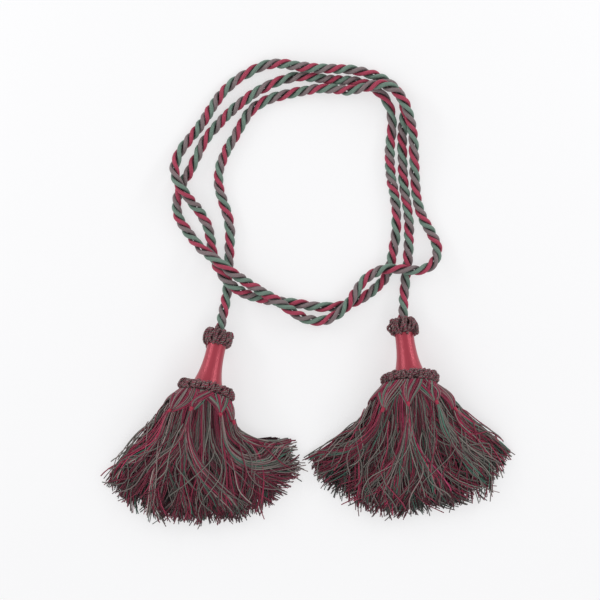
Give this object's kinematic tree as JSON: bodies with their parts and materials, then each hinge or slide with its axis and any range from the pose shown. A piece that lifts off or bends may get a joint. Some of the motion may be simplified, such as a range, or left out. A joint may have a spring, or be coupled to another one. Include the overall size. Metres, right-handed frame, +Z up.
{
  "type": "curtain tieback rope with two tassels",
  "caption": "Long three-ply twisted rope lying in loose loops, with a ruffed, netted bell tassel and fanned cut fringe at each end.",
  "frame": {"origin": "centre of the two tassels' bounding box, on the surface that the tieback lies on", "axes": "+Z up, away from the surface; +Y from the fringes' hems towards the rope; +X from the left tassel to the right one"},
  "size_m": [0.3126, 0.3597, 0.0449],
  "materials": {
    "rope": "three laid plies of satin yarn, crimson, grey-green and mauve-brown",
    "ruff": "looped and twisted yarn, mixed burgundy and grey-green",
    "satin": "satin thread laid lengthwise, crimson",
    "net": "bundles of straight yarn, mixed grey-green and burgundy",
    "tie": "wrapped crimson thread",
    "fringe": "cut twisted yarn, mixed burgundy, grey-green and a little teal"
  },
  "bodies": {
    "root": {"rope": "rope", "left_top_ruff": "ruff", "left_mould": "satin", "left_lower_ruff": "ruff", "left_net": "net", "left_tie_1": "tie", "left_tie_2": "tie", "left_tie_3": "tie", "left_tie_4": "tie", "left_skirt": "fringe", "right_top_ruff": "ruff", "right_mould": "satin", "right_lower_ruff": "ruff", "right_net": "net", "right_tie_1": "tie", "right_tie_2": "tie", "right_tie_3": "tie", "right_tie_4": "tie", "right_skirt": "fringe"}
  },
  "joints": []
}
